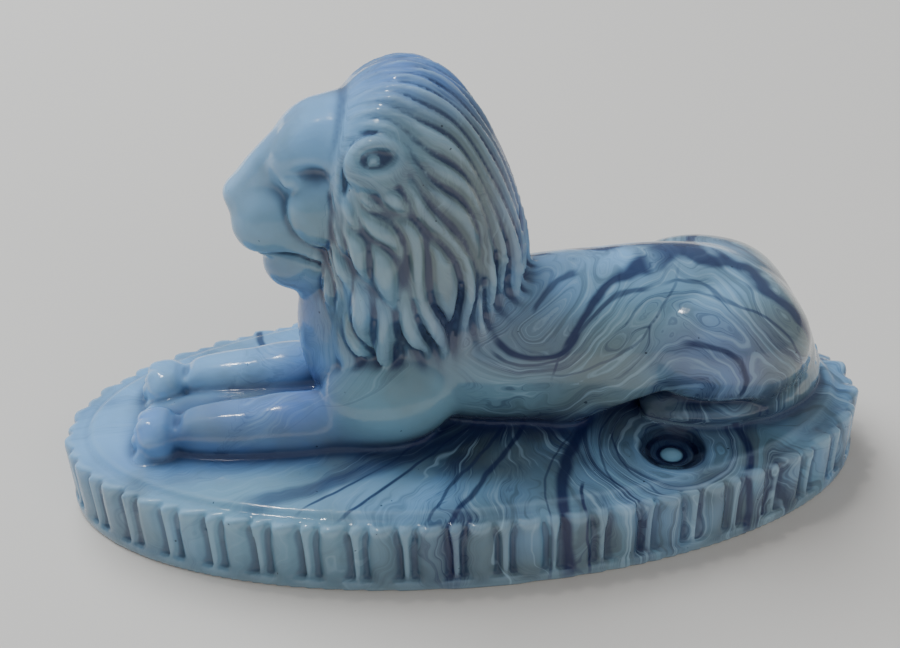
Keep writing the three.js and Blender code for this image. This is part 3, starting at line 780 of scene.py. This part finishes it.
def thread_shares(n, x, y, z, wobble):
    """How dark the threads make each place, from 0 to 1."""
    far_side = n.ramp(y, -2, 8, 0, 6)
    above = n.ramp(z, 14.2, 14.8)
    views = {
        "side": (n.vector(n.math("ADD", x, far_side), z, 0.0), above),
        "plan": (n.vector(x, y, 0.0), n.math("SUBTRACT", 1.0, above)),
    }
    darkest = None
    for view, points, width, strength in THREADS:
        place, shown = views[view]
        centre, radius = circle_through(points)
        gap = n.math("SUBTRACT", n.distance(place, (*centre, 0)), radius)
        gap = n.math("ABSOLUTE", n.math("ADD", gap, wobble))
        line = n.ramp(gap, width * 0.25, width * 0.85, strength, 0.0)
        reach = max(math.dist(points[1], points[0]), math.dist(points[1], points[2]))
        away = n.distance(place, (*points[1], 0))
        line = n.math("MULTIPLY", line, n.ramp(away, reach * 0.8, reach * 1.1, 1.0, 0.0))
        line = n.math("MULTIPLY", line, shown)
        darkest = line if darkest is None else n.math("MAXIMUM", darkest, line)
    return darkest


def glass_material():
    material = bpy.data.materials.new("marbled glass")
    material.use_nodes = True
    tree = material.node_tree
    shader = tree.nodes["Principled BSDF"]
    n = Nodes(tree)
    position = n.new("ShaderNodeNewGeometry", output="Position")
    millimetres = n.new("ShaderNodeVectorMath", {0: position, 1: (1000, 1000, 1000)}, operation="MULTIPLY")
    x, y, z = n.parts(millimetres)
    warp = n.noise(millimetres, 0.09, 2.0)
    wobble = n.ramp(warp, 0.3, 0.7, -1.1, 1.1)

    # Streams: broad soft bands, fine bands and thin dark lines where the fine pattern crosses its middle
    across, along, streaky = n.parts(n.attribute("stream"))
    across = n.math("ADD", across, n.math("MULTIPLY", wobble, 1.3))
    broad_place = n.vector(n.math("MULTIPLY", across, 0.22), n.math("MULTIPLY", along, 0.025), 3.0)
    broad = n.noise(broad_place, 1.0, 2.0)
    fine_place = n.vector(n.math("MULTIPLY", across, 0.9), n.math("MULTIPLY", along, 0.05), 9.0)
    fine = n.noise(fine_place, 1.0, 3.0, 0.6)
    crossing = n.math("ABSOLUTE", n.math("SUBTRACT", fine, 0.5))
    lines = n.math("MULTIPLY", n.ramp(crossing, 0.004, 0.03, 1.0, 0.0), n.ramp(broad, 0.42, 0.6))

    wash = n.attribute("wash")
    clouds = n.noise(millimetres, 0.07, 3.0, 0.55)
    colour = n.mix(n.ramp(clouds, 0.42, 0.68, 0.0, 0.45), wash, SAGE)
    colour = n.mix(n.ramp(n.noise(millimetres, 0.045, 2.0), 0.5, 0.72, 0.0, 0.4), colour, SKY)
    colour = n.mix(n.math("MULTIPLY", n.ramp(broad, 0.5, 0.68, 0.0, 0.75), streaky), colour, NAVY)
    colour = n.mix(n.math("MULTIPLY", n.ramp(broad, 0.44, 0.3, 0.0, 0.35), streaky), colour, AQUA)
    colour = n.mix(n.math("MULTIPLY", n.ramp(fine, 0.52, 0.66, 0.0, 0.6), streaky), colour, SLATE)
    colour = n.mix(n.math("MULTIPLY", n.ramp(fine, 0.46, 0.34, 0.0, 0.35), streaky), colour, PALE)
    colour = n.mix(n.math("MULTIPLY", n.math("MULTIPLY", lines, streaky), 0.6), colour, NAVY)
    threads = thread_shares(n, x, y, z, n.math("MULTIPLY", wobble, 0.5))
    colour = n.mix(threads, colour, NAVY)

    # Rings round the dimple, with a pale spot on its button
    ring = n.distance(millimetres, (*DIMPLE, PLINTH_TOP - 1))
    ripple = n.math("SINE", n.math("MULTIPLY", ring, 3.6))
    in_dimple = n.ramp(ring, 4.9, 6.1, 1.0, 0.0)
    colour = n.mix(n.math("MULTIPLY", in_dimple, n.ramp(ripple, -0.8, 0.8, 0.72, 1.0)), colour, INK)
    colour = n.mix(n.ramp(ring, 1.6, 2.1, 0.85, 0.0), colour, AQUA)

    # Painted shade darkens the hollows towards navy, and a painted highlight makes ridges and thin edges
    # paler
    small, large, hair = n.parts(n.attribute("hollow"))
    groove = n.math("MULTIPLY", n.ramp(small, 0.02, 0.22, 0.0, 0.8), n.ramp(hair, 0, 1, 0.6, 1.0))
    colour = n.mix(groove, colour, NAVY)
    # Painted shade: navy in the large hollows, where light is shut out
    colour = n.mix(n.ramp(large, 0.03, 0.3, 0.0, 0.6), colour, NAVY)
    # Painted highlight: paler on ridges and thin edges
    colour = n.mix(n.ramp(small, -0.05, -0.3, 0.0, 0.3), colour, PALE)

    # A few small specks of dirt
    specks = n.ramp(n.noise(millimetres, 1.1, 0.0), 0.86, 0.89, 0.0, 0.7)
    colour = n.mix(specks, colour, INK)
    tree.links.new(colour, shader.inputs["Base Color"])

    smears = n.noise(millimetres, 0.22, 4.0, 0.65)
    tree.links.new(n.ramp(smears, 0.35, 0.7, 0.09, 0.24), shader.inputs["Roughness"])
    grain = n.math("MULTIPLY", n.noise(millimetres, 2.2, 2.0), 0.12)
    skin = n.math("ADD", n.noise(millimetres, 0.35, 2.0), grain)
    bump = n.new("ShaderNodeBump", {"Height": skin, "Strength": 0.25, "Distance": 0.0004})
    tree.links.new(bump, shader.inputs["Normal"])
    shader.inputs["IOR"].default_value = 1.52
    shader.inputs["Coat Weight"].default_value = 0.35
    shader.inputs["Coat Roughness"].default_value = 0.04
    shader.inputs["Subsurface Weight"].default_value = 0.12
    shader.inputs["Subsurface Radius"].default_value = (0.4, 0.7, 1.0)
    shader.inputs["Subsurface Scale"].default_value = 0.003
    return material


add_colour_attributes(paperweight.data)
paperweight.data.materials.clear()
paperweight.data.materials.append(glass_material())


# Floor, light and camera
def plain_material(name, color, roughness):
    material = bpy.data.materials.new(name)
    material.use_nodes = True
    shader = material.node_tree.nodes["Principled BSDF"]
    shader.inputs["Base Color"].default_value = (*color, 1)
    shader.inputs["Roughness"].default_value = roughness
    return material


def floor():
    mesh = bpy.data.meshes.new("floor")
    mesh.from_pydata([(-3, -3, 0), (3, -3, 0), (3, 3, 0), (-3, 3, 0)], [], [(0, 1, 2, 3)])
    ground = bpy.data.objects.new("Floor", mesh)
    bpy.context.scene.collection.objects.link(ground)
    mesh.materials.append(plain_material("pale floor", (0.66, 0.62, 0.57), 0.7))


def soft_light(name, place, target, size, power, color, glints):
    data = bpy.data.lights.new(name, "AREA")
    data.shape = "RECTANGLE"
    data.size, data.size_y = size
    data.energy = power
    data.color = color
    lamp = bpy.data.objects.new(name, data)
    lamp.visible_glossy = glints
    lamp.location = place
    lamp.rotation_euler = (Vector(target) - Vector(place)).to_track_quat("-Z", "Y").to_euler()
    bpy.context.scene.collection.objects.link(lamp)


def world():
    scene_world = bpy.data.worlds.new("studio")
    scene_world.use_nodes = True
    background = scene_world.node_tree.nodes["Background"]
    background.inputs["Color"].default_value = (0.75, 0.8, 0.88, 1)
    background.inputs["Strength"].default_value = 0.35
    bpy.context.scene.world = scene_world


def camera():
    azimuth, elevation, roll = math.radians(-3.67), math.radians(33.27), math.radians(-1.96)
    level = math.cos(elevation)
    back = Vector((math.sin(azimuth) * level, -math.cos(azimuth) * level, math.sin(elevation)))
    right = Vector((0, 0, 1)).cross(back).normalized()
    up = back.cross(right)
    turned_right = math.cos(roll) * right + math.sin(roll) * up
    turned_up = math.cos(roll) * up - math.sin(roll) * right
    place = Vector((0.00043, 0.04409, 0)) + back * 0.25541
    data = bpy.data.cameras.new("camera")
    data.sensor_fit = "HORIZONTAL"
    data.sensor_width = 36
    data.lens = 36 * 1200.5 / 900
    data.clip_start, data.clip_end = 0.01, 20
    viewer = bpy.data.objects.new("Camera", data)
    viewer.matrix_world = Matrix((turned_right, turned_up, back)).transposed().to_4x4()
    viewer.matrix_world.translation = place
    bpy.context.scene.collection.objects.link(viewer)
    bpy.context.scene.camera = viewer


floor()
soft_light("window", (-0.6, 0.7, 1.1), (0, 0, 0.03), (1.3, 1.0), 30, (0.86, 0.93, 1.0), False)
soft_light("fill", (0.5, -1.2, 0.9), (0, 0, 0.03), (1.4, 1.0), 9, (1.0, 0.97, 0.92), False)
soft_light("glint", (-0.25, 0.2, 0.9), (0, 0, 0.03), (0.05, 0.05), 0.8, (1.0, 1.0, 1.0), True)
world()
camera()

bpy.context.view_layer.update()
